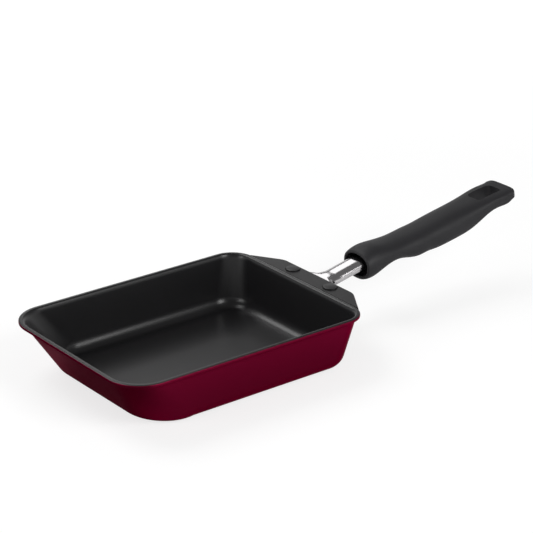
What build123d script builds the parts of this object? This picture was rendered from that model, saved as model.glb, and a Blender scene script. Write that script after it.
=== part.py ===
"""Small rectangular omelette pan with a riveted neck and a moulded handle, in millimetres.

The origin is on the flat base, under the middle of the rim. +X points along the handle, +Y
across the pan and +Z up. The wall opposite the handle slopes far more than the other three,
so that a rolled omelette slides out over it.
"""
import os
from math import cos, pi, radians, sin, sqrt, tan

from build123d import *

# Pressed body: one sheet with a flat floor, drafted walls and a flat rolled-out lip
BODY_LENGTH = 187.0
BODY_WIDTH = 140.0
BODY_HEIGHT = 36.4
SHEET = 1.6
LIP_REACH = 2.0
LIP_BEND = 3.2
LIP_EDGE_RADIUS = 0.5
SERVE_SLOPE = 30.9
WALL_DRAFT = 8.5
RIM_SERVE_RADIUS = 24.0
RIM_HANDLE_RADIUS = 17.0
BASE_SERVE_RADIUS = 31.0
BASE_HANDLE_RADIUS = 19.7
FLOOR_BEND = 10.0

# Tab: the flat flange at the handle end, a little lower than the lip
TAB_REACH = 14.5
TAB_STRAIGHT = 64.4
TAB_CORNER = 12.0
TAB_STEP = 0.35

# Rivets through the tab and the ear of the neck
RIVET_SPACING = 38.8
RIVET_INSET = 6.2
RIVET_SHANK = 5.0
RIVET_HEAD = 9.6
RIVET_HEAD_RISE = 0.9
RIVET_TAIL = 7.2
RIVET_TAIL_RISE = 1.4
RIVET_TAIL_CHAMFER = 0.5
RIVET_CLEARANCE = 0.1

# Neck: one stamped strip with an ear under the tab, a channel and a tang in the handle
NECK_SHEET = 1.8
NECK_WIDTH = 16.0
NECK_DEPTH = 3.9
NECK_SHOULDER = 2.4
NECK_FLARE = 13.5
NECK_RISE_ANGLE = 12.0
NECK_BEND_RADIUS = 15.0
NECK_BEND_GAP = 11.0
NECK_INTO_MOUTH = 8.0
EAR_SETBACK = 13.2
EAR_FRONT_GAP = 0.5
EAR_WIDTH = 56.0
EAR_CORNER = 4.0
TANG_WIDTH = 11.0
TANG_LENGTH = 30.0
TANG_ANGLE = 7.0
TANG_CORNER = 2.0

# Handle: a moulding with a hooded mouth, a swelling grip and a flat end
HANDLE_GAP = 33.0
HANDLE_LENGTH = 137.4
HANDLE_RISE = 23.6
GRIP_WIDTH = 28.0
GRIP_DEPTH = 20.6
MOUTH_DROP = 3.5
MOUTH_WALL = 2.3
MOUTH_CAVITY = 16.0
MOUTH_LIP_CHAMFER = 0.6
TIP_CORNER = 5.0
TIP_EDGE_RADIUS = 2.2
SLOT_CLEARANCE = 0.2

# Hanging hole, square to the flat end
HOLE_LENGTH = 22.0
HOLE_WIDTH = 13.2
HOLE_CORNER = 3.2
HOLE_TO_TIP = 8.8
HOLE_TILT = 10.0

# Screw that holds the tang, its split washer and their seat in the handle
SCREW_TO_MOUTH = 24.0
SCREW_SHANK = 5.0
SCREW_HEAD = 8.6
SCREW_HEAD_DEPTH = 2.6
SCREW_PAST_TANG = 1.2
DRIVE_WIDTH = 1.4
DRIVE_LENGTH = 5.4
DRIVE_DEPTH = 1.3
THREAD_CLEARANCE = 0.1
SHANK_CLEARANCE = 0.4
HEAD_CLEARANCE = 0.5
WASHER_OUTER = 8.2
WASHER_THICKNESS = 1.2
WASHER_SPLIT = 0.6
WASHER_SPLIT_ANGLE = 25.0
SEAT_FLOOR = 2.4
BOSS_DIAMETER = 7.4
BOSS_HEIGHT = 1.8

# How far a cutter runs past the face that it opens, and how close two lofts meet
OVERRUN = 1.0
JOIN_TOLERANCE = 0.001

# Handle stations, from the mouth to the tip, as shares of the handle's length, its rise, and
# the grip's width and depth. The last column says how square the section is: 2 is an ellipse.
GRIP_SHARES = (
    (0.000, 0.000, 0.930, 0.900, 2.3),
    (0.027, 0.025, 0.985, 1.000, 2.3),
    (0.068, 0.078, 1.000, 0.995, 2.3),
    (0.122, 0.147, 0.980, 0.845, 2.3),
    (0.190, 0.205, 0.940, 0.680, 2.3),
    (0.297, 0.215, 0.945, 0.765, 2.4),
    (0.418, 0.270, 0.970, 0.870, 2.5),
    (0.540, 0.366, 1.000, 0.960, 2.5),
    (0.662, 0.491, 1.000, 0.940, 2.6),
    (0.768, 0.656, 0.980, 0.765, 3.0),
    (0.859, 0.844, 0.975, 0.525, 3.6),
    (0.920, 0.908, 0.975, 0.475, 4.2),
    (1.000, 1.000, 0.965, 0.390, 4.6),
)
SECTION_POINTS = 28
CAVITY_STATIONS = 5
TIP_ROUND_SHARES = (0.0, 0.35, 0.62, 0.82, 0.94, 1.0)

# Places that follow from the sizes above
RIM_END = BODY_LENGTH / 2
TAB_TOP = BODY_HEIGHT - TAB_STEP
TAB_UNDER = TAB_TOP - SHEET
TAB_END = RIM_END + TAB_REACH
EAR_BACK = TAB_END - EAR_SETBACK
EAR_FRONT = TAB_END - EAR_FRONT_GAP
MOUTH_X = TAB_END + HANDLE_GAP
TIP_X = MOUTH_X + HANDLE_LENGTH
CHANNEL_END = MOUTH_X + NECK_INTO_MOUTH - NECK_SHEET
BEND_X = TAB_END + NECK_BEND_GAP
NECK_RUN = (MOUTH_X + NECK_INTO_MOUTH - BEND_X) / cos(radians(NECK_RISE_ANGLE))
MOUTH_Z = TAB_UNDER + (MOUTH_X - BEND_X) * tan(radians(NECK_RISE_ANGLE)) - MOUTH_DROP
SEAT_DEPTH = NECK_SHEET + BOSS_HEIGHT + SLOT_CLEARANCE + SEAT_FLOOR

# Ways in which a plain shape stands against the point where it is placed
BACKWARD = (Align.MAX, Align.CENTER)
FORWARD = (Align.MIN, Align.CENTER)
DOWN = (Align.CENTER, Align.CENTER, Align.MAX)
UP = (Align.CENTER, Align.CENTER, Align.MIN)


def wall_outline(level, inward):
    """Outline of the walls at one height, set in from their outer skin along the normal."""
    fall = BODY_HEIGHT - level
    serve, draft = radians(SERVE_SLOPE), radians(WALL_DRAFT)
    far = LIP_REACH - RIM_END + fall * tan(serve) + inward / cos(serve)
    near = RIM_END - LIP_REACH - fall * tan(draft) - inward / cos(draft)
    half = BODY_WIDTH / 2 - LIP_REACH - fall * tan(draft) - inward / cos(draft)
    low = fall / BODY_HEIGHT
    far_radius = (RIM_SERVE_RADIUS - LIP_REACH) * (1 - low) + BASE_SERVE_RADIUS * low - inward
    near_radius = (RIM_HANDLE_RADIUS - LIP_REACH) * (1 - low) + BASE_HANDLE_RADIUS * low - inward
    outline = Pos((far + near) / 2, 0) * Rectangle(near - far, 2 * half)
    outline = fillet(outline.vertices().group_by(Axis.X)[0], far_radius)
    outline = fillet(outline.vertices().group_by(Axis.X)[-1], near_radius)
    return Pos(0, 0, level) * outline


def tub(inward, floor):
    """Solid tub with drafted walls and a rounded floor edge."""
    block = loft([wall_outline(floor, inward), wall_outline(BODY_HEIGHT, inward)], ruled=True)
    return fillet(block.edges().group_by(Axis.Z)[0], FLOOR_BEND - inward)


def make_lip():
    """Flat lip with an eased outer edge, rounder at the serving end."""
    outline = Rectangle(BODY_LENGTH, BODY_WIDTH)
    outline = fillet(outline.vertices().group_by(Axis.X)[0], RIM_SERVE_RADIUS)
    outline = fillet(outline.vertices().group_by(Axis.X)[-1], RIM_HANDLE_RADIUS)
    lip = Pos(0, 0, BODY_HEIGHT - SHEET) * extrude(outline, SHEET)
    return fillet(lip.edges().group_by(Axis.Z)[-1], LIP_EDGE_RADIUS)


def make_tab():
    """Flat tab, whose slanted sides run tangent into the lip's round corners."""
    circles = []
    for side in (-1, 1):
        corner = (RIM_END - RIM_HANDLE_RADIUS, side * (BODY_WIDTH / 2 - RIM_HANDLE_RADIUS))
        front = (TAB_END - TAB_CORNER, side * TAB_STRAIGHT / 2)
        circles += (Pos(*corner) * Circle(RIM_HANDLE_RADIUS)).edges()
        circles += (Pos(*front) * Circle(TAB_CORNER)).edges()
    behind = Pos(RIM_END - LIP_REACH, 0) * Rectangle(BODY_LENGTH, 2 * BODY_WIDTH, align=BACKWARD)
    tab = Pos(0, 0, TAB_UNDER) * extrude(make_hull(circles) - behind, SHEET)
    rim = tab.edges().group_by(Axis.Z)[-1].sort_by(Axis.X)[1:]
    return fillet(rim, LIP_EDGE_RADIUS)


def rivet_places():
    """Places of the rivets, side by side across the tab's upper face."""
    x = TAB_END - RIVET_INSET
    return [Pos(x, side * RIVET_SPACING / 2, TAB_TOP) for side in (-1, 1)]


def make_pan_body():
    """Pressed body: tub, flat lip and the tab with its rivet holes."""
    body = tub(0, 0) + make_lip() + make_tab() - tub(SHEET, SHEET)
    mouth = body.faces().sort_by(Axis.Z)[-1]
    body = fillet(mouth.inner_wires()[0].edges(), LIP_BEND)
    shank = Cylinder(RIVET_SHANK / 2 + RIVET_CLEARANCE, 2 * (SHEET + OVERRUN))
    return body - [place * shank for place in rivet_places()]


def low_dome(radius, rise):
    """Flat-bottomed head with a gently rounded top and a short upright edge."""
    edge = rise / 2
    base = Line((0, 0), (radius, 0)) + Line((radius, 0), (radius, edge))
    crown = TangentArc((0, rise), (radius, edge), tangent=(1, 0))
    outline = make_face(base + crown + Line((0, rise), (0, 0)))
    return revolve(Plane.XZ * outline, Axis.Z)


def make_rivets():
    """Low round-topped rivets with a flat upset tail under the ear of the neck."""
    grip = SHEET + NECK_SHEET
    tail = Cylinder(RIVET_TAIL / 2, RIVET_TAIL_RISE, align=DOWN)
    tail = chamfer(tail.edges().group_by(Axis.Z)[0], RIVET_TAIL_CHAMFER)
    shank = Cylinder(RIVET_SHANK / 2, grip, align=DOWN)
    rivet = low_dome(RIVET_HEAD / 2, RIVET_HEAD_RISE) + shank + Pos(0, 0, -grip) * tail
    return Compound(children=[place * rivet for place in rivet_places()])


def neck_band(depth, spare):
    """Side view of the neck, as thick as asked and grown all round by a clearance."""
    rise, tang = radians(NECK_RISE_ANGLE), radians(TANG_ANGLE)
    ear = (EAR_BACK, TAB_UNDER)
    bend = (BEND_X, TAB_UNDER)
    shoulder = (bend[0] + NECK_RUN * cos(rise), bend[1] + NECK_RUN * sin(rise))
    end = (shoulder[0] + TANG_LENGTH * cos(tang), shoulder[1] + TANG_LENGTH * sin(tang))
    upper = FilletPolyline(ear, bend, shoulder, end, radius=NECK_BEND_RADIUS)
    band = make_face(offset(upper, depth, side=Side.RIGHT))
    if spare:
        band = offset(band, spare)
    return band


def neck_slab(depth, spare, width):
    """The neck's side view carried across a width."""
    return extrude(Plane.XZ * neck_band(depth, spare), width / 2, both=True)


def neck_plan():
    """Plan of ear and channel, with a wide flare where the one runs into the other."""
    ear = Pos((EAR_BACK + EAR_FRONT) / 2, 0) * Rectangle(EAR_FRONT - EAR_BACK, EAR_WIDTH)
    ear = fillet(ear.vertices(), EAR_CORNER)
    plan = ear + Pos(EAR_BACK, 0) * Rectangle(CHANNEL_END - EAR_BACK, NECK_WIDTH, align=FORWARD)
    roots = plan.vertices().filter_by(lambda v: v.X < BEND_X and abs(v.Y) < NECK_WIDTH)
    return fillet(roots, NECK_FLARE)


def hollow_plan():
    """Plan of what is open underneath: the channel, its far end and most of the ear."""
    ear_length = EAR_FRONT - NECK_SHEET - EAR_BACK + OVERRUN
    ear_open = Rectangle(ear_length, EAR_WIDTH + 2 * OVERRUN, align=FORWARD)
    end_open = Rectangle(NECK_WIDTH, NECK_WIDTH - 2 * NECK_SHEET, align=BACKWARD)
    plan = offset(neck_plan(), -NECK_SHEET) + Pos(EAR_BACK - OVERRUN, 0) * ear_open
    return plan + Pos(CHANNEL_END + OVERRUN, 0) * end_open


def on_upper_shoulder(edge):
    """True for an upper long edge of the channel, flare included."""
    spot = edge.center()
    skin = TAB_UNDER + max(0, spot.X - BEND_X) * tan(radians(NECK_RISE_ANGLE))
    along = spot.X > EAR_FRONT and abs(spot.Y) > NECK_WIDTH / 4
    return along and spot.Z > skin - NECK_DEPTH / 4


def screw_axis(depth):
    """Place on the screw's axis, a depth below the tang's upper face and square to it."""
    rise, tang = radians(NECK_RISE_ANGLE), radians(TANG_ANGLE)
    step = SCREW_TO_MOUTH - NECK_INTO_MOUTH
    z = TAB_UNDER + NECK_RUN * sin(rise) + step * tan(tang)
    return Pos(MOUTH_X + SCREW_TO_MOUTH, 0, z) * Rot(0, -TANG_ANGLE, 0) * Pos(0, 0, -depth)


def tang_block(spare):
    """Flat strip from the channel into the handle, grown all round by a clearance."""
    start = CHANNEL_END - NECK_DEPTH
    plan = Pos(start, 0) * Rectangle(2 * TANG_LENGTH, TANG_WIDTH, align=FORWARD)
    if spare:
        plan = offset(plan, spare)
    return extrude(plan, 2 * BODY_HEIGHT) & neck_slab(NECK_SHEET, spare, EAR_WIDTH)


def make_neck():
    """Stamped bracket: flat ear, channel with rolled shoulders, and the tang with its boss."""
    tall, across = 2 * BODY_HEIGHT, 2 * EAR_WIDTH
    skin = neck_slab(NECK_SHEET, 0, across)
    ahead = Pos(EAR_FRONT - EAR_CORNER, 0) * Rectangle(BODY_LENGTH, across, align=FORWARD)
    channel = extrude(neck_plan() & ahead, tall) & neck_slab(NECK_DEPTH, 0, across)
    channel = fillet(channel.edges().filter_by(on_upper_shoulder), NECK_SHOULDER)
    channel += extrude(neck_plan() - ahead, tall) & skin
    channel -= extrude(hollow_plan(), tall) & (neck_slab(2 * NECK_DEPTH, 0, across) - skin)
    hole = Cylinder(RIVET_SHANK / 2 + RIVET_CLEARANCE, tall)
    channel -= [place * hole for place in rivet_places()]
    tang = tang_block(0)
    tang = fillet(tang.edges().sort_by(Axis.X)[-4:].filter_by(Axis.Y, reverse=True), TANG_CORNER)
    boss = Cylinder(BOSS_DIAMETER / 2, BOSS_HEIGHT, align=DOWN)
    tapped = Cylinder(SCREW_SHANK / 2 + THREAD_CLEARANCE, 2 * BOSS_DIAMETER)
    return channel + tang + screw_axis(NECK_SHEET) * boss - screw_axis(0) * tapped


def signed_power(value, power):
    """A power of a number's size that keeps the number's sign."""
    return abs(value) ** power * (1 if value > 0 else -1)


def grip_section(x, z, half_width, half_depth, square, lean):
    """Closed section of the handle: a superellipse, rounder or squarer, leaning back."""
    points = []
    for step in range(SECTION_POINTS):
        angle = 2 * pi * step / SECTION_POINTS
        across = half_width * signed_power(cos(angle), 2 / square)
        up = half_depth * signed_power(sin(angle), 2 / square)
        points.append((x - up * sin(radians(lean)), across, z + up * cos(radians(lean))))
    return make_face(Spline(points, periodic=True))


def grip_sections(inward, past, stations):
    """Sections at the handle's stations, set in by a wall and run past the mouth."""
    sections = []
    for along, rise, width, depth, square in stations:
        x = MOUTH_X + along * (HANDLE_LENGTH - TIP_CORNER) - (0 if along else past)
        z = MOUTH_Z + rise * HANDLE_RISE
        half_width = width * GRIP_WIDTH / 2 - inward
        half_depth = depth * GRIP_DEPTH / 2 - inward
        lean = HOLE_TILT if along == 1 else 0
        sections.append(grip_section(x, z, half_width, half_depth, square, lean))
    return sections


def tip_sections():
    """Sections of the rounded end, drawn in along one arc in plan and one in side view."""
    _, rise, width, depth, square = GRIP_SHARES[-1]
    side = width * GRIP_WIDTH / 2 - TIP_CORNER
    face = depth * GRIP_DEPTH / 2 - TIP_EDGE_RADIUS
    sections = []
    for share in TIP_ROUND_SHARES:
        reach = share * TIP_CORNER
        edge_reach = max(0, reach - TIP_CORNER + TIP_EDGE_RADIUS)
        half_width = side + sqrt(TIP_CORNER**2 - reach**2)
        half_depth = face + sqrt(TIP_EDGE_RADIUS**2 - edge_reach**2)
        x = TIP_X - TIP_CORNER + reach * cos(radians(HOLE_TILT))
        z = MOUTH_Z + rise * HANDLE_RISE + reach * sin(radians(HOLE_TILT))
        sections.append(grip_section(x, z, half_width, half_depth, square, HOLE_TILT))
    return sections


def mouth_cavity():
    """Room inside the hooded mouth, one wall in from the handle's skin."""
    room = loft(grip_sections(MOUTH_WALL, OVERRUN, GRIP_SHARES[:CAVITY_STATIONS]))
    plan = Rectangle(MOUTH_CAVITY + 2 * OVERRUN, 2 * GRIP_WIDTH, align=BACKWARD)
    return room & extrude(Pos(MOUTH_X + MOUTH_CAVITY, 0) * plan, MOUTH_Z + 2 * GRIP_DEPTH)


def hanging_hole():
    """Round-cornered cutter, square to the flat end."""
    outline = RectangleRounded(HOLE_LENGTH, HOLE_WIDTH, HOLE_CORNER)
    middle = TIP_X - HOLE_TO_TIP - HOLE_LENGTH / 2
    cutter = extrude(outline, 2 * GRIP_DEPTH, both=True)
    return Pos(middle, 0, MOUTH_Z + HANDLE_RISE) * Rot(0, -HOLE_TILT, 0) * cutter


def screw_pocket():
    """Room in the handle for the screw: head, washer, shank and the tang's boss."""
    shank_length = SEAT_DEPTH + SCREW_PAST_TANG + OVERRUN
    head = Cylinder(SCREW_HEAD / 2 + HEAD_CLEARANCE, GRIP_DEPTH, align=DOWN)
    shank = Cylinder(SCREW_SHANK / 2 + SHANK_CLEARANCE, shank_length, align=DOWN)
    boss = Cylinder(BOSS_DIAMETER / 2 + SLOT_CLEARANCE, BOSS_HEIGHT + SLOT_CLEARANCE, align=DOWN)
    pocket = screw_axis(SEAT_DEPTH) * head + screw_axis(-SCREW_PAST_TANG - SLOT_CLEARANCE) * shank
    return pocket + screw_axis(NECK_SHEET) * boss


def make_handle():
    """Moulded handle: hooded mouth, swelling grip, flat end with its hanging hole."""
    tip = loft(tip_sections())
    grip = loft(grip_sections(0, 0, GRIP_SHARES)).fuse(tip, tol=JOIN_TOLERANCE) - mouth_cavity()
    grip = chamfer(grip.faces().sort_by(Axis.X)[0].edges(), MOUTH_LIP_CHAMFER)
    return grip - (tang_block(SLOT_CLEARANCE) + screw_pocket()) - hanging_hole()


def make_screw():
    """Round-headed screw with a cross recess, from below the handle into the tang's boss."""
    seat = SEAT_DEPTH + WASHER_THICKNESS
    shank = Cylinder(SCREW_SHANK / 2, seat + SCREW_PAST_TANG, align=UP)
    head = Rot(180, 0, 0) * low_dome(SCREW_HEAD / 2, SCREW_HEAD_DEPTH)
    drive = Box(DRIVE_LENGTH, DRIVE_WIDTH, 2 * DRIVE_DEPTH)
    cross = drive + Rot(0, 0, 90) * drive
    return screw_axis(seat) * (head + shank - Pos(0, 0, -SCREW_HEAD_DEPTH) * cross)


def make_washer():
    """Split spring washer between the screw's head and the handle."""
    ring = Cylinder(WASHER_OUTER / 2, WASHER_THICKNESS, align=DOWN)
    ring -= Cylinder(SCREW_SHANK / 2 + SHANK_CLEARANCE, 2 * WASHER_THICKNESS, align=DOWN)
    middle = (Align.MIN, Align.CENTER, Align.CENTER)
    split = Box(WASHER_OUTER, WASHER_SPLIT, 4 * WASHER_THICKNESS, align=middle)
    return screw_axis(SEAT_DEPTH) * (ring - Rot(WASHER_SPLIT_ANGLE, 0, 0) * split)


if __name__ == "__main__":
    os.makedirs("parts", exist_ok=True)
    pieces = {
        "pan_body": make_pan_body(),
        "neck_bracket": make_neck(),
        "rivets": make_rivets(),
        "handle_grip": make_handle(),
        "handle_screw": make_screw(),
        "lock_washer": make_washer(),
    }
    for name, piece in pieces.items():
        export_step(piece, f"parts/{name}.step")
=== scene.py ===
"""Studio scene of a small rectangular omelette pan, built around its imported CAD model.

All lengths are in metres, in the part's own frame: the origin is on the flat base, +X points
along the handle, +Y across the pan and +Z up.
"""
from math import acos, atan2, cos, pi, radians, sin, sqrt, tan

import bmesh
import bpy
from mathutils import Matrix, Vector


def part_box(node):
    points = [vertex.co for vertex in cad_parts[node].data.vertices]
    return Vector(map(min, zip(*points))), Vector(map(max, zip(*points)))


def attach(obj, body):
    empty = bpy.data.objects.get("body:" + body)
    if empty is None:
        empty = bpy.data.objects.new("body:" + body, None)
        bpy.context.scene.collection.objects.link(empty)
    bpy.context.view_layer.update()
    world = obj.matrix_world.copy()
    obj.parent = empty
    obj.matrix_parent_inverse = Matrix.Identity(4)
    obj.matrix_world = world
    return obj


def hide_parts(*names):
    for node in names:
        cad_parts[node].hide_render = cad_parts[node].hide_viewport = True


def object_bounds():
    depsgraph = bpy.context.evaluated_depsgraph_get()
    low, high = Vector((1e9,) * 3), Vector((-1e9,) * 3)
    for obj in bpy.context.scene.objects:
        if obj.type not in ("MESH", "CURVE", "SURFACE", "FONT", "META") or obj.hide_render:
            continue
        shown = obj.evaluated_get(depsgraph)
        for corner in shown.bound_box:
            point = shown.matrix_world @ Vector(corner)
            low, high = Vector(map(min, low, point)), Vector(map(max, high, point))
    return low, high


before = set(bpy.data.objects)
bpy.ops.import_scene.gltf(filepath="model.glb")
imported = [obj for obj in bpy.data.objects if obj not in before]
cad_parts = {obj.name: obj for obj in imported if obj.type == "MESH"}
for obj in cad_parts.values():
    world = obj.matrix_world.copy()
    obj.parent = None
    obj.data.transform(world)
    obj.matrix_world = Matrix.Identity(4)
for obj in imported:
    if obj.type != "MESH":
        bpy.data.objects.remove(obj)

CAD_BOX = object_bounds()
MM = 0.001

# Mesh cleaning and shading
WELD = 0.001 * MM
SHARP_ANGLE = radians(34)

# Pressed body, whose outer sizes come from its CAD node. SUPPORT is how far from a bend the
# sheet has one more row of points, which keeps the shading flat beside it
BODY_LOW, BODY_HIGH = (Vector(corner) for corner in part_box("pan_body"))
HEIGHT = BODY_HIGH.z
RIM_END = -BODY_LOW.x
HALF_WIDTH = BODY_HIGH.y
TAB_END = BODY_HIGH.x
SHEET = 1.6 * MM
LIP_REACH = 2.0 * MM
SERVE_SLOPE = radians(30.9)
WALL_DRAFT = radians(8.5)
RIM_SERVE_RADIUS, RIM_HANDLE_RADIUS = 24.0 * MM, 17.0 * MM
BASE_SERVE_RADIUS, BASE_HANDLE_RADIUS = 31.0 * MM, 19.7 * MM
FLOOR_BEND = 10.0 * MM
UNDER_BEND = 3.2 * MM
LIP_EDGE_LOW, LIP_EDGE_HIGH = 0.3 * MM, 0.55 * MM
LIP_CROWN = 0.45 * MM
LIP_LIFT = 0.25 * MM
LIP_CREST = 1.9 * MM
CROWN_START_SHARE = 0.6
LIP_FALL = 2.9 * MM
SUPPORT = 0.25 * MM
CORNER_STEPS = 22
BEND_STEPS = 9
EDGE_STEPS = 4

# Tab and rivets
TAB_STRAIGHT = 64.4 * MM
TAB_CORNER = 12.0 * MM
TAB_STEP = 0.35 * MM
CREASE_WIDTH, CREASE_WALL, CREASE_DEPTH = 0.9 * MM, 0.1 * MM, 0.6 * MM
TAB_TOP = HEIGHT - TAB_STEP
TAB_UNDER = TAB_TOP - SHEET
RIVET_X = TAB_END - 6.2 * MM
RIVET_Y = 19.4 * MM
RIVET_SHANK = 2.5 * MM
RIVET_HEAD, RIVET_HEAD_RISE = 4.8 * MM, 0.9 * MM
RIVET_EDGE = 0.2 * MM
RIVET_FALL_SHARE = 0.2
RIVET_DOME_STEPS = 6
RIVET_EDGE_ANGLES = tuple(radians(v) for v in (25, 50, 75, 90))
RIVET_SEAT, RIVET_SINK = RIVET_HEAD + 0.55 * MM, 0.5 * MM
SEAT_SLOPE = 0.1 * MM
RIVET_TAIL, RIVET_TAIL_RISE = 3.6 * MM, 1.4 * MM
TAIL_SIDE_SHARE, TAIL_END_SHARE = 0.6, 0.8
ROUND_STEPS = 48

# Neck
NECK_SHEET = 1.8 * MM
NECK_HALF = 8.0 * MM
NECK_DEPTH = 3.9 * MM
NECK_CROWN = 1.3 * MM
NECK_SQUARE, PLATE_SQUARE = 2.8, 14
PLATE_DEPTH = NECK_SHEET * 1.02
CROWN_LEAD = 1 * MM
NECK_FLARE = 13.5 * MM
NECK_RISE = radians(12)
NECK_BEND = 15.0 * MM
NECK_BEND_GAP = 11.0 * MM
EAR_BACK, EAR_FRONT = TAB_END - 13.2 * MM, TAB_END - 0.5 * MM
EAR_HALF, EAR_CORNER = 28.0 * MM, 4.0 * MM
EAR_DROP_END = EAR_FRONT - 1.5 * MM
EAR_LAST = EAR_FRONT - 0.02 * MM
MOUTH_X = TAB_END + 33.0 * MM
CHANNEL_END = MOUTH_X + 6.2 * MM
STEP_END = CHANNEL_END + 0.5 * MM
SHOULDER_X = MOUTH_X + 8.0 * MM
TANG_HALF, TANG_LENGTH, TANG_RISE = 5.5 * MM, 30.0 * MM, radians(7)
TANG_END = SHOULDER_X + TANG_LENGTH * cos(TANG_RISE)
TANG_CORNER = 2 * MM
NECK_ROUND_STEPS = 40
NECK_STEP = 2 * MM
QUARTER, CORNER_TURN, FLARE_TURN = 90, 15, 5
TANG_STEPS = 4

# Grain of the finishes
SPECKLE, PEEL, FLAKE = 0.5 * MM, 0.7 * MM, 0.25 * MM
COAT_CLOUD, LACQUER_CLOUD, PHENOLIC_CLOUD = 30 * MM, 20 * MM, 8 * MM
COAT_PEEL_HEIGHT, LACQUER_PEEL_HEIGHT = 0.02 * MM, 0.012 * MM
MOULD_GRAIN, MOULD_GRAIN_HEIGHT = 0.35 * MM, 0.03 * MM
NECK_GRAIN, SCREW_GRAIN = 0.4 * MM, 0.3 * MM
STEEL_GRAIN_HEIGHT = 0.001 * MM
BRUSH_STRETCH = (0.05, 1, 1)
STREAK_SHADE, STREAK_SPREAD = 0.92, 0.2

# Camera, fitted to the photograph's edges
CAMERA_AZIMUTH = 38.72
CAMERA_ELEVATION = 22.785
CAMERA_ROLL = 0.642
CAMERA_DISTANCE = 1.45377
CAMERA_TARGET = Vector((0.11443, 0.06350, 0.0199))
CAMERA_LENS = 141.8
CAMERA_SENSOR = 36.0
CAMERA_REACH = 20

# Studio: a white horizon that darkens upwards, and four softboxes, each with its azimuth,
# elevation, size and power
SKY_LOW, SKY_HIGH = 0.05, 0.50
SKY_LEVEL = 0.18
SOFTBOXES = {
    "back": (112, 52, 0.8, 9),
    "left": (178, 24, 0.5, 3),
    "front": (-75, 35, 0.6, 9),
    "behind": (62, 38, 0.45, 1.1),
}
LAMP_DISTANCE = 1.4
LAMP_AIM = Vector((0.05, 0, 0.02))

# Floor: the light it sends to the object falls off past the serving wall, a painted shade that
# darkens the pan's serving wall and near corner; what the camera sees is a glow with a faint share of
# the lamps' light, so that the shadow stays
FLOOR_SIZE = 8.0
FLOOR_GAP = 0.1 * MM
FLOOR_COLOUR = (0.80, 0.80, 0.80)
FLOOR_SHADE = 0.30
GLOW_NEAR, GLOW_FAR = 0.74, 0.94
GLOW_START, GLOW_END = 0.35, 1.2
# Painted shade: a dark patch of floor past the serving wall, seen only by light and reflections
PAINTED_SHADE_END, PAINTED_SHADE_START = -0.98 * RIM_END, -0.64 * RIM_END
PAINTED_SHADE_COLOUR = (0.22, 0.22, 0.22)


class Shader:
    """Thin helper that adds and links shader nodes of one material or world."""

    def __init__(self, tree):
        self.tree = tree
        self.tree.nodes.clear()

    def add(self, kind, **settings):
        node = self.tree.nodes.new(kind)
        for name, value in settings.items():
            setattr(node, name, value)
        return node

    def link(self, source, target):
        self.tree.links.new(source, target)

    def larger(self, first, second):
        node = self.add("ShaderNodeMath", operation="MAXIMUM")
        self.link(first, node.inputs[0])
        self.link(second, node.inputs[1])
        return node.outputs[0]

    def feed(self, socket, value):
        if isinstance(value, bpy.types.NodeSocket):
            self.link(value, socket)
        else:
            socket.default_value = value


def new_material(name):
    """A material with an empty tree, its helper and its output node."""
    material = bpy.data.materials.new(name)
    material.use_nodes = True
    shader = Shader(material.node_tree)
    out = shader.add("ShaderNodeOutputMaterial")
    return material, shader, out


def principled(shader, out, **sockets):
    """A Principled BSDF wired to the output, with the named sockets set."""
    node = shader.add("ShaderNodeBsdfPrincipled")
    for name, value in sockets.items():
        shader.feed(node.inputs[name.replace("_", " ")], value)
    shader.link(node.outputs[0], out.inputs["Surface"])


def noise(shader, size, detail, stretch=(1, 1, 1)):
    """Noise whose features are about as large as the size given, in metres."""
    place = shader.add("ShaderNodeTexCoord")
    mapping = shader.add("ShaderNodeMapping")
    mapping.inputs["Scale"].default_value = stretch
    shader.link(place.outputs["Object"], mapping.inputs["Vector"])
    node = shader.add("ShaderNodeTexNoise")
    node.inputs["Scale"].default_value = 1 / size
    node.inputs["Detail"].default_value = detail
    shader.link(mapping.outputs[0], node.inputs["Vector"])
    return node.outputs["Fac"]


def ramp(shader, factor, low, high, start=0.0, end=1.0):
    """A colour that runs from one to another as the factor runs from start to end."""
    node = shader.add("ShaderNodeValToRGB")
    node.color_ramp.elements[0].position = start
    node.color_ramp.elements[0].color = (*low, 1)
    node.color_ramp.elements[1].position = end
    node.color_ramp.elements[1].color = (*high, 1)
    shader.link(factor, node.inputs["Fac"])
    return node.outputs["Color"]


def between(shader, factor, low, high):
    """A number that runs from low to high as the factor runs from 0 to 1."""
    node = shader.add("ShaderNodeMapRange")
    node.inputs["To Min"].default_value = low
    node.inputs["To Max"].default_value = high
    shader.link(factor, node.inputs["Value"])
    return node.outputs[0]


def bump(shader, height, distance):
    """A normal tilted by a relief of the height given, in metres."""
    node = shader.add("ShaderNodeBump")
    node.inputs["Distance"].default_value = distance
    shader.link(height, node.inputs["Height"])
    return node.outputs[0]


def coating_colour(s):
    """Black nonstick coating with a fine mineral speckle."""
    speckle = noise(s, SPECKLE, 3)
    return ramp(s, speckle, (0.008, 0.0078, 0.0085), (0.0125, 0.012, 0.013), 0.35, 0.7)


def coating_material(name):
    """Black nonstick coating: satin, with a fine orange peel."""
    material, s, out = new_material(name)
    principled(
        s, out,
        Base_Color=coating_colour(s),
        Roughness=between(s, noise(s, COAT_CLOUD, 2), 0.28, 0.33),
        IOR=1.45,
        Normal=bump(s, noise(s, PEEL, 2), COAT_PEEL_HEIGHT),
    )
    return material


def lacquer_material():
    """Metallic crimson lacquer, fine flake under an even film."""
    material, s, out = new_material("crimson_lacquer")
    flake = noise(s, FLAKE, 1)
    principled(
        s, out,
        Base_Color=ramp(s, flake, (0.150, 0.0040, 0.022), (0.195, 0.0055, 0.033), 0.3, 0.7),
        Metallic=1.0,
        Roughness=between(s, noise(s, LACQUER_CLOUD, 2), 0.33, 0.40),
        Specular_Tint=(0.9, 0.42, 0.5, 1.0),
        Normal=bump(s, noise(s, PEEL, 2), LACQUER_PEEL_HEIGHT),
    )
    return material


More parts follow.
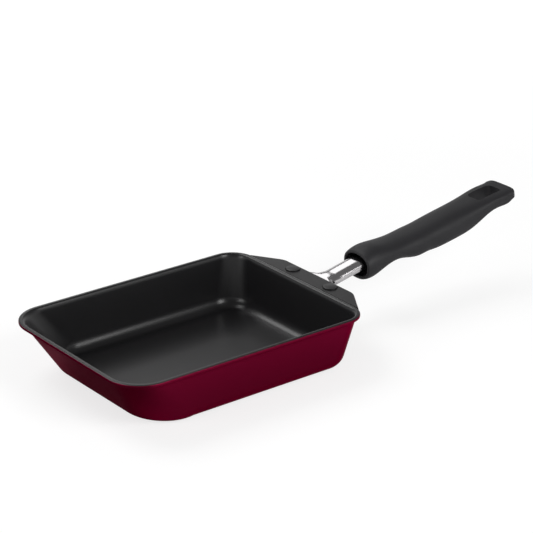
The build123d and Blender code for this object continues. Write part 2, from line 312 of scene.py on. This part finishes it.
def steel_material(name, colour, roughness, grain):
    """Bare steel with a faint grain along the handle."""
    material, s, out = new_material(name)
    streak = noise(s, grain, 3, BRUSH_STRETCH)
    low = tuple(STREAK_SHADE * c for c in colour)
    smooth, rough = roughness * (1 - STREAK_SPREAD), roughness * (1 + STREAK_SPREAD)
    principled(
        s, out,
        Base_Color=ramp(s, streak, low, colour, 0.3, 0.7),
        Metallic=1.0,
        Roughness=between(s, streak, smooth, rough),
        Normal=bump(s, streak, STEEL_GRAIN_HEIGHT),
    )
    return material


def phenolic_material():
    """Matte black moulding with a fine grain."""
    material, s, out = new_material("black_phenolic")
    grain = noise(s, MOULD_GRAIN, 3)
    principled(
        s, out,
        Base_Color=ramp(s, grain, (0.0125, 0.0123, 0.0140), (0.018, 0.0176, 0.020), 0.35, 0.65),
        Roughness=between(s, noise(s, PHENOLIC_CLOUD, 3), 0.50, 0.58),
        IOR=1.4,
        Normal=bump(s, grain, MOULD_GRAIN_HEIGHT),
    )
    return material


def smoothstep(value, low, high):
    """0 below low, 1 above high, with a smooth run between them."""
    share = min(1, max(0, (value - low) / (high - low)))
    return share * share * (3 - 2 * share)


def mesh_piece(name, mesh, node, slot, *materials):
    """Turns a bmesh into a piece that rides on the body and stands for a CAD node."""
    bmesh.ops.remove_doubles(mesh, verts=mesh.verts, dist=WELD)
    bmesh.ops.dissolve_degenerate(mesh, edges=mesh.edges, dist=WELD)
    bmesh.ops.recalc_face_normals(mesh, faces=mesh.faces)
    for face in mesh.faces:
        face.smooth = True
    data = bpy.data.meshes.new(name)
    mesh.to_mesh(data)
    mesh.free()
    data.set_sharp_from_angle(angle=SHARP_ANGLE)
    for material in materials:
        data.materials.append(material)
    piece = bpy.data.objects.new(name, data)
    bpy.context.scene.collection.objects.link(piece)
    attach(piece, "root")
    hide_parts(node)
    return piece


def bridge(mesh, first, second, closed=True, index=0):
    """Quads between two rows of vertices."""
    count = len(first)
    for k in range(count if closed else count - 1):
        corners = (first[k], first[(k + 1) % count], second[(k + 1) % count], second[k])
        mesh.faces.new(corners).material_index = index


def arc(centre, radius, start, end, steps):
    """Points on an arc in a section's plane."""
    angles = (start + (end - start) * k / steps for k in range(steps + 1))
    return [(centre[0] + radius * cos(a), centre[1] + radius * sin(a)) for a in angles]


def quadratic(first, control, last, steps):
    """Points on a quadratic Bezier curve."""
    points = []
    for k in range(steps + 1):
        t = k / steps
        weights = ((1 - t) ** 2, 2 * t * (1 - t), t * t)
        points.append(tuple(
            weights[0] * a + weights[1] * b + weights[2] * c for a, b, c in zip(first, control, last)
        ))
    return points


def wall_stations():
    """Foot, outward normal, slope and sideways run of the wall, all round the pan."""
    foot_far = LIP_REACH - RIM_END + HEIGHT * tan(SERVE_SLOPE)
    foot_near = RIM_END - LIP_REACH - HEIGHT * tan(WALL_DRAFT)
    foot_half = HALF_WIDTH - LIP_REACH - HEIGHT * tan(WALL_DRAFT)
    corners = []
    for side_x, side_y, start in ((1, -1, -90), (1, 1, 0), (-1, 1, 90), (-1, -1, 180)):
        near = side_x > 0
        low = BASE_HANDLE_RADIUS if near else BASE_SERVE_RADIUS
        high = (RIM_HANDLE_RADIUS if near else RIM_SERVE_RADIUS) - LIP_REACH
        foot_x = foot_near - low if near else foot_far + low
        top_x = side_x * (RIM_END - LIP_REACH - high)
        foot = Vector((foot_x, side_y * (foot_half - low), 0))
        top = Vector((top_x, side_y * (HALF_WIDTH - LIP_REACH - high), 0))
        corners.append((foot, top, low, high, radians(start)))
    stations = []
    for foot, top, low, high, start in corners:
        for k in range(CORNER_STEPS + 1):
            angle = start + pi / 2 * k / CORNER_STEPS
            normal = Vector((cos(angle), sin(angle), 0))
            along = Vector((-sin(angle), cos(angle), 0))
            run = top + high * normal - foot - low * normal
            lean = atan2(run.dot(normal), HEIGHT)
            stations.append((foot + low * normal, normal, lean, run.dot(along) * along))
    return stations


def sheet_section(lean):
    """Section of the pressed sheet: lacquered underside and wall, then the coated inside."""
    rise, back = tan(lean), (1 - sin(lean)) / cos(lean)
    turn = pi / 2 - lean
    under = HEIGHT - SHEET
    edge = HEIGHT * rise + LIP_REACH
    outer = [(-FLOOR_BEND * back - SUPPORT, 0)]
    outer += arc((-FLOOR_BEND * back, FLOOR_BEND), FLOOR_BEND, -pi / 2, -pi / 2 + turn, BEND_STEPS)
    last = outer[-1]
    outer.append((last[0] + SUPPORT * sin(lean), last[1] + SUPPORT * cos(lean)))
    low = (edge - LIP_EDGE_LOW, under + LIP_EDGE_LOW)
    start = under - UNDER_BEND
    bend = quadratic((start * rise, start), (under * rise, under), (low[0], under), BEND_STEPS)
    outer.append((bend[0][0] - SUPPORT * sin(lean), bend[0][1] - SUPPORT * cos(lean)))
    outer += bend[:-1]
    outer += arc(low, LIP_EDGE_LOW, -pi / 2, 0, EDGE_STEPS)
    skin = -SHEET / cos(lean)
    crest = (edge - LIP_CREST, HEIGHT + LIP_CROWN)
    shoulder = (edge - LIP_EDGE_HIGH, HEIGHT + LIP_LIFT)
    rim = quadratic((edge, shoulder[1] - LIP_EDGE_HIGH), (edge, shoulder[1]), shoulder, EDGE_STEPS)
    half = EDGE_STEPS // 2 + 1
    outer += rim[:half]
    inner = rim[half - 1:]
    crown = (edge - CROWN_START_SHARE * LIP_CREST, crest[1])
    inner += quadratic(shoulder, crown, crest, EDGE_STEPS)[1:]
    foot = HEIGHT - LIP_FALL
    corner = (crest[1] * rise + skin, crest[1])
    inner += quadratic(crest, corner, (foot * rise + skin, foot), BEND_STEPS)[1:]
    inner.append((inner[-1][0] - SUPPORT * sin(lean), inner[-1][1] - SUPPORT * cos(lean)))
    radius = FLOOR_BEND - SHEET
    floor = arc((-FLOOR_BEND * back, FLOOR_BEND), radius, -pi / 2 + turn, -pi / 2, BEND_STEPS)
    inner.append((floor[0][0] + SUPPORT * sin(lean), floor[0][1] + SUPPORT * cos(lean)))
    inner += floor
    inner.append((floor[-1][0] - SUPPORT, SHEET))
    return outer, inner


def make_shell(lacquer, coating):
    """Pan without its tab: floor, walls and crowned lip, as one closed sheet."""
    mesh = bmesh.new()
    rows = []
    for foot, normal, lean, run in wall_stations():
        outer, inner = sheet_section(lean)
        split = len(outer)
        row = []
        for x, z in outer + inner[1:]:
            spot = foot + normal * x + run * (z / HEIGHT) + Vector((0, 0, z))
            spot.x = max(-RIM_END, spot.x)
            spot.y = max(-HALF_WIDTH, min(HALF_WIDTH, spot.y))
            row.append(mesh.verts.new(spot))
        rows.append(row)
    count = len(rows)
    for k, row in enumerate(rows):
        after = rows[(k + 1) % count]
        for j in range(len(row) - 1):
            face = mesh.faces.new((row[j], after[j], after[j + 1], row[j + 1]))
            face.material_index = 0 if j < split - 1 else 1
    mesh.faces.new([row[0] for row in rows]).material_index = 0
    mesh.faces.new([row[-1] for row in rows]).material_index = 1
    return mesh_piece("pan_shell", mesh, "pan_body", "coated_body", lacquer, coating)


def tab_outline():
    """Points and outward normals round the tab's free sides, from one end at the lip to the other."""
    corner = Vector((RIM_END - RIM_HANDLE_RADIUS, HALF_WIDTH - RIM_HANDLE_RADIUS))
    front = Vector((TAB_END - TAB_CORNER, TAB_STRAIGHT / 2))
    gap = front - corner
    slant = atan2(gap.y, gap.x) + acos((RIM_HANDLE_RADIUS - TAB_CORNER) / gap.length)
    normal = Vector((cos(slant), sin(slant)))
    start = front + TAB_CORNER * normal
    back = (start.x - (RIM_END - LIP_REACH)) / normal.y
    half = [(start + Vector((-normal.y, normal.x)) * back, normal)]
    for k in range(BEND_STEPS + 1):
        angle = slant * (1 - k / BEND_STEPS)
        way = Vector((cos(angle), sin(angle)))
        half.append((front + TAB_CORNER * way, way))
    flip = Vector((1, -1))
    return [(point * flip, way * flip) for point, way in half] + half[::-1]


def circle(mesh, x, y, z, radius):
    """Ring of vertices round an upright axis."""
    turns = (2 * pi * k / ROUND_STEPS for k in range(ROUND_STEPS))
    return [mesh.verts.new((x + radius * cos(a), y + radius * sin(a), z)) for a in turns]


def loop_edges(mesh, ring):
    """The edges round a ring of vertices, made where they are missing."""
    edges = []
    for k in range(len(ring)):
        pair = (ring[k], ring[(k + 1) % len(ring)])
        edges.append(mesh.edges.get(pair) or mesh.edges.new(pair))
    return edges


def make_tab(lacquer, coating):
    """Flat tab let into the lip, with eased edges, two rivet seats and a crease behind the lip."""
    mesh = bmesh.new()
    outline = tab_outline()
    high, low = LIP_EDGE_HIGH, LIP_EDGE_LOW
    section = [(-low - SUPPORT, TAB_UNDER)]
    section += arc((-low, TAB_UNDER + low), low, -pi / 2, 0, EDGE_STEPS)
    section += arc((-high, TAB_TOP - high), high, 0, pi / 2, EDGE_STEPS)
    section.append((-high - SUPPORT, TAB_TOP))
    rings = []
    for out, z in section:
        rings.append([mesh.verts.new((*(point + way * out), z)) for point, way in outline])
    top_start = len(section) - EDGE_STEPS // 2 - 2
    for k in range(len(rings) - 1):
        bridge(mesh, rings[k], rings[k + 1], closed=False, index=0 if k < top_start else 1)
    holes = []
    for side in (-1, 1):
        bottom = TAB_TOP - RIVET_SINK
        profile = ((RIVET_SHANK, TAB_UNDER), (RIVET_SHANK, bottom))
        profile += ((RIVET_SEAT - SEAT_SLOPE, bottom), (RIVET_SEAT, TAB_TOP))
        hole = [circle(mesh, RIVET_X, side * RIVET_Y, z, radius) for radius, z in profile]
        for first, second in zip(hole, hole[1:]):
            bridge(mesh, first, second, index=1)
        holes.append((hole[0], hole[-1]))
    for level, ring, index in ((0, rings[0], 0), (1, rings[-1], 1)):
        edges = loop_edges(mesh, ring)
        for pair in holes:
            edges += loop_edges(mesh, pair[level])
        made = bmesh.ops.triangle_fill(mesh, use_beauty=True, use_dissolve=False, edges=edges)
        for item in made["geom"]:
            if isinstance(item, bmesh.types.BMFace):
                item.material_index = index
    mesh.faces.new([ring[0] for ring in rings] + [ring[-1] for ring in rings[::-1]])
    for wide in (CREASE_WIDTH, CREASE_WIDTH + CREASE_WALL):
        parts = mesh.verts[:] + mesh.edges[:] + mesh.faces[:]
        cut = (RIM_END + wide, 0, 0)
        bmesh.ops.bisect_plane(mesh, geom=parts, plane_co=cut, plane_no=(1, 0, 0))
    for vert in mesh.verts:
        if vert.co.x < RIM_END + CREASE_WIDTH + CREASE_WALL / 2:
            vert.co.z = min(vert.co.z, TAB_TOP - CREASE_DEPTH)
    return mesh_piece("pan_tab", mesh, "pan_body", "coated_body", lacquer, coating)


def lathe(mesh, profile, place):
    """Closed solid of revolution from radius and height pairs, put in place by a matrix."""
    rings = []
    for radius, height in profile:
        turns = (2 * pi * k / ROUND_STEPS for k in range(ROUND_STEPS))
        if radius:
            spots = [Vector((radius * cos(a), radius * sin(a), height)) for a in turns]
        else:
            spots = [Vector((0, 0, height))]
        rings.append([mesh.verts.new(place @ spot) for spot in spots])
    for first, second in zip(rings, rings[1:]):
        for k in range(ROUND_STEPS):
            after = (k + 1) % ROUND_STEPS
            corners = [first[k % len(first)], first[after % len(first)]]
            corners += [second[after % len(second)], second[k % len(second)]]
            mesh.faces.new(list(dict.fromkeys(corners)))


def make_rivets(coating):
    """Low round-topped rivets with an eased rim, sunk in their seats, and an upset tail."""
    mesh = bmesh.new()
    fall = RIVET_FALL_SHARE * RIVET_HEAD_RISE
    shoulder = RIVET_HEAD - RIVET_EDGE
    profile = [(0, RIVET_HEAD_RISE)]
    for k in range(1, RIVET_DOME_STEPS + 1):
        share = k / RIVET_DOME_STEPS
        profile.append((shoulder * share, RIVET_HEAD_RISE - fall * share**2))
    drop = RIVET_HEAD_RISE - fall - RIVET_EDGE
    for a in RIVET_EDGE_ANGLES:
        profile.append((shoulder + RIVET_EDGE * sin(a), drop + RIVET_EDGE * cos(a)))
    profile += [(RIVET_HEAD, -RIVET_SINK), (RIVET_SHANK, -RIVET_SINK)]
    grip = -SHEET - NECK_SHEET
    profile += [(RIVET_SHANK, grip), (RIVET_TAIL, grip)]
    profile.append((RIVET_TAIL, grip - TAIL_SIDE_SHARE * RIVET_TAIL_RISE))
    profile.append((TAIL_END_SHARE * RIVET_TAIL, grip - RIVET_TAIL_RISE))
    profile.append((0, grip - RIVET_TAIL_RISE))
    for side in (-1, 1):
        lathe(mesh, profile, Matrix.Translation((RIVET_X, side * RIVET_Y, TAB_TOP)))
    return mesh_piece("rivet_pair", mesh, "rivets", "coated_rivet", coating)


def neck_line(x):
    """Height and slope of the neck's crest at a distance along the pan."""
    bend = TAB_END + NECK_BEND_GAP
    start = bend - NECK_BEND * tan(NECK_RISE / 2)
    end = start + NECK_BEND * sin(NECK_RISE)
    crest = TAB_UNDER + NECK_CROWN * smoothstep(x, TAB_END - CROWN_LEAD, bend)
    if x <= start:
        return crest, 0
    if x <= end:
        slope = (x - start) / (end - start) * NECK_RISE
        return crest + NECK_BEND * (1 - cos(slope)), slope
    rise = NECK_BEND * (1 - cos(NECK_RISE))
    if x <= SHOULDER_X:
        return crest + rise + (x - end) * tan(NECK_RISE), NECK_RISE
    top = crest + rise + (SHOULDER_X - end) * tan(NECK_RISE) - NECK_CROWN
    return top + (x - SHOULDER_X) * tan(TANG_RISE), TANG_RISE


def neck_shape(x):
    """Half width, flange depth and squareness of the neck's section."""
    if x < EAR_BACK + EAR_CORNER:
        past = EAR_BACK + EAR_CORNER - x
        half = EAR_HALF - EAR_CORNER + sqrt(max(0, EAR_CORNER**2 - past**2))
    elif x < EAR_FRONT:
        past = max(0, x - EAR_FRONT + EAR_CORNER)
        half = EAR_HALF - EAR_CORNER + sqrt(max(0, EAR_CORNER**2 - past**2))
    elif x < EAR_FRONT + NECK_FLARE:
        half = NECK_HALF + NECK_FLARE - sqrt(NECK_FLARE**2 - (EAR_FRONT + NECK_FLARE - x) ** 2)
    else:
        half = NECK_HALF - (NECK_HALF - TANG_HALF) * smoothstep(x, CHANNEL_END, STEP_END)
    if x > CHANNEL_END:
        tip = max(0, x - TANG_END + TANG_CORNER)
        half -= TANG_CORNER - sqrt(max(0, TANG_CORNER**2 - tip**2))
        return half, PLATE_DEPTH, PLATE_SQUARE
    crown_start = TAB_END - CROWN_LEAD
    drop = smoothstep(x, EAR_FRONT - EAR_CORNER, EAR_DROP_END)
    depth = PLATE_DEPTH + (NECK_DEPTH - PLATE_DEPTH) * drop
    depth += NECK_CROWN * smoothstep(x, crown_start, TAB_END + NECK_BEND_GAP)
    rounding = smoothstep(x, crown_start, TAB_END + NECK_BEND_GAP / 2)
    return half, depth, PLATE_SQUARE - (PLATE_SQUARE - NECK_SQUARE) * rounding


def neck_places():
    """Distances along the pan at which the neck has a section."""
    turns = [radians(a) for a in range(0, QUARTER + 1, CORNER_TURN)]
    flare = [radians(a) for a in range(0, QUARTER, FLARE_TURN)]
    places = [EAR_BACK + EAR_CORNER * (1 - cos(a)) for a in turns]
    places += [EAR_FRONT - EAR_CORNER * (1 - sin(a)) for a in turns[:-1]]
    places.append(EAR_LAST)
    places += [EAR_FRONT + NECK_FLARE * (1 - cos(a)) for a in flare]
    start = EAR_FRONT + NECK_FLARE
    count = int((CHANNEL_END - start) / NECK_STEP)
    places += [start + (CHANNEL_END - start) * k / count for k in range(count + 1)]
    places += [STEP_END, SHOULDER_X]
    run = TANG_END - TANG_CORNER - SHOULDER_X
    places += [SHOULDER_X + run * k / TANG_STEPS for k in range(1, TANG_STEPS + 1)]
    places += [TANG_END - TANG_CORNER * (1 - sin(a)) for a in turns[1:]]
    return places


def make_neck(steel):
    """Stamped neck: ear, flare, crowned channel with rolled shoulders, and the tang."""
    mesh = bmesh.new()
    rows = []
    for x in neck_places():
        z, slope = neck_line(x)
        half, depth, square = neck_shape(x)
        across, up = Vector((0, 1, 0)), Vector((-sin(slope), 0, cos(slope)))
        row = []
        for skin in (0, NECK_SHEET):
            ring = []
            for k in range(NECK_ROUND_STEPS + 1):
                angle = pi * k / NECK_ROUND_STEPS
                side = abs(cos(angle)) ** (2 / square) * (1 if angle < pi / 2 else -1)
                high = abs(sin(angle)) ** (2 / square)
                spot = Vector((x, 0, z)) + across * (half - skin) * side
                spot += up * ((depth - skin) * high - depth)
                ring.append(mesh.verts.new(spot))
            row += ring if not skin else ring[::-1]
        rows.append(row)
    for first, second in zip(rows, rows[1:]):
        bridge(mesh, first, second)
    for row in (rows[0], rows[-1]):
        count = len(row)
        for k in range(NECK_ROUND_STEPS):
            mesh.faces.new((row[k], row[k + 1], row[count - 2 - k], row[count - 1 - k]))
    return mesh_piece("neck_channel", mesh, "neck_bracket", "neck_steel", steel)


def dress(node, material):
    """Gives a CAD node its material."""
    node.data.materials.clear()
    node.data.materials.append(material)


def make_camera():
    """Camera at the photograph's viewing angle."""
    azimuth, elevation, roll = (
        radians(v) for v in (CAMERA_AZIMUTH, CAMERA_ELEVATION, CAMERA_ROLL)
    )
    flat = cos(elevation)
    forward = Vector((sin(azimuth) * flat, cos(azimuth) * flat, -sin(elevation)))
    right = forward.cross(Vector((0, 0, 1))).normalized()
    up = right.cross(forward)
    side = cos(roll) * right + sin(roll) * up
    top = cos(roll) * up - sin(roll) * right
    data = bpy.data.cameras.new("camera")
    data.lens = CAMERA_LENS
    data.sensor_width = CAMERA_SENSOR
    data.clip_end = CAMERA_REACH
    camera = bpy.data.objects.new("camera", data)
    turn = Matrix((side, top, -forward)).transposed().to_4x4()
    camera.matrix_world = Matrix.Translation(CAMERA_TARGET - CAMERA_DISTANCE * forward) @ turn
    bpy.context.scene.collection.objects.link(camera)
    bpy.context.scene.camera = camera


def make_world():
    """Pale studio: plain white to the camera, but to light and reflections darker overhead."""
    world = bpy.data.worlds.new("studio")
    world.use_nodes = True
    bpy.context.scene.world = world
    s = Shader(world.node_tree)
    out = s.add("ShaderNodeOutputWorld")
    path = s.add("ShaderNodeLightPath")
    place = s.add("ShaderNodeTexCoord")
    apart = s.add("ShaderNodeSeparateXYZ")
    s.link(place.outputs["Generated"], apart.inputs[0])
    sky = s.add("ShaderNodeMapRange", interpolation_type="SMOOTHSTEP")
    sky.inputs["From Min"].default_value = SKY_LOW
    sky.inputs["From Max"].default_value = SKY_HIGH
    sky.inputs["To Min"].default_value = 1.0
    sky.inputs["To Max"].default_value = SKY_LEVEL
    s.link(apart.outputs["Z"], sky.inputs["Value"])
    seen = s.larger(path.outputs["Is Camera Ray"], path.outputs["Is Transmission Ray"])
    level = s.larger(seen, sky.outputs[0])
    light = s.add("ShaderNodeBackground")
    light.inputs["Color"].default_value = (1, 1, 1, 1)
    s.link(level, light.inputs["Strength"])
    s.link(light.outputs[0], out.inputs["Surface"])


def make_floor():
    """White floor that keeps the object's shadow, with its light kept apart from its look; to light
    and reflections it carries painted shade past the serving wall.
    """
    half = FLOOR_SIZE / 2
    corners = [(-half, -half, 0), (half, -half, 0), (half, half, 0), (-half, half, 0)]
    mesh = bpy.data.meshes.new("floor")
    mesh.from_pydata(corners, [], [(0, 1, 2, 3)])
    floor = bpy.data.objects.new("floor", mesh)
    bpy.context.scene.collection.objects.link(floor)
    floor.location.z = CAD_BOX[0][2] - FLOOR_GAP
    material, s, out = new_material("floor_white")
    path = s.add("ShaderNodeLightPath")
    seen = s.larger(path.outputs["Is Camera Ray"], path.outputs["Is Transmission Ray"])
    place = s.add("ShaderNodeTexCoord")
    apart = s.add("ShaderNodeSeparateXYZ")
    s.link(place.outputs["Object"], apart.inputs[0])
    # Painted shade: past the serving wall the floor turns dark for light and reflection rays only,
    # which darkens the pan's serving wall and near corner
    share = s.add("ShaderNodeMapRange", interpolation_type="SMOOTHSTEP")
    share.inputs["From Min"].default_value = PAINTED_SHADE_END
    share.inputs["From Max"].default_value = PAINTED_SHADE_START
    s.link(apart.outputs["X"], share.inputs["Value"])
    matte = s.add("ShaderNodeBsdfDiffuse")
    s.link(ramp(s, share.outputs[0], PAINTED_SHADE_COLOUR, FLOOR_COLOUR), matte.inputs["Color"])
    faint = s.add("ShaderNodeBsdfDiffuse")
    faint.inputs["Color"].default_value = (FLOOR_SHADE, FLOOR_SHADE, FLOOR_SHADE, 1)
    reach = s.add("ShaderNodeVectorMath", operation="LENGTH")
    s.link(place.outputs["Object"], reach.inputs[0])
    level = s.add("ShaderNodeMapRange", interpolation_type="SMOOTHSTEP")
    level.inputs["From Min"].default_value = GLOW_START
    level.inputs["From Max"].default_value = GLOW_END
    level.inputs["To Min"].default_value = GLOW_NEAR
    level.inputs["To Max"].default_value = GLOW_FAR
    s.link(reach.outputs["Value"], level.inputs["Value"])
    glow = s.add("ShaderNodeEmission")
    s.link(level.outputs[0], glow.inputs["Strength"])
    both = s.add("ShaderNodeAddShader")
    s.link(faint.outputs[0], both.inputs[0])
    s.link(glow.outputs[0], both.inputs[1])
    either = s.add("ShaderNodeMixShader")
    s.link(seen, either.inputs[0])
    s.link(matte.outputs[0], either.inputs[1])
    s.link(both.outputs[0], either.inputs[2])
    s.link(either.outputs[0], out.inputs["Surface"])
    mesh.materials.append(material)


def softbox(name, azimuth, elevation, size, power):
    """Square area lamp at an azimuth and elevation round the pan, aimed at its middle."""
    data = bpy.data.lights.new(name, "AREA")
    data.shape = "SQUARE"
    data.size = size
    data.energy = power
    turn, lift = radians(azimuth), radians(elevation)
    way = Vector((cos(turn) * cos(lift), sin(turn) * cos(lift), sin(lift)))
    lamp = bpy.data.objects.new(name, data)
    bpy.context.scene.collection.objects.link(lamp)
    lamp.location = LAMP_AIM + LAMP_DISTANCE * way
    lamp.rotation_euler = way.to_track_quat("Z", "Y").to_euler()


def main():
    """Dresses the part, then adds the studio and the camera."""
    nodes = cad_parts
    lacquer, coating = lacquer_material(), coating_material("nonstick_coating")
    make_shell(lacquer, coating)
    make_tab(lacquer, coating)
    make_rivets(coating_material("rivet_coating"))
    make_neck(steel_material("neck_steel", (0.60, 0.585, 0.595), 0.15, NECK_GRAIN))
    dress(nodes["handle_grip"], phenolic_material())
    plain = steel_material("screw_steel", (0.5, 0.5, 0.5), 0.3, SCREW_GRAIN)
    dress(nodes["handle_screw"], plain)
    dress(nodes["lock_washer"], plain)
    make_world()
    make_floor()
    for name, (azimuth, elevation, size, power) in SOFTBOXES.items():
        softbox(name, azimuth, elevation, size, power)
    make_camera()
    bpy.context.scene.view_settings.view_transform = "Standard"


main()
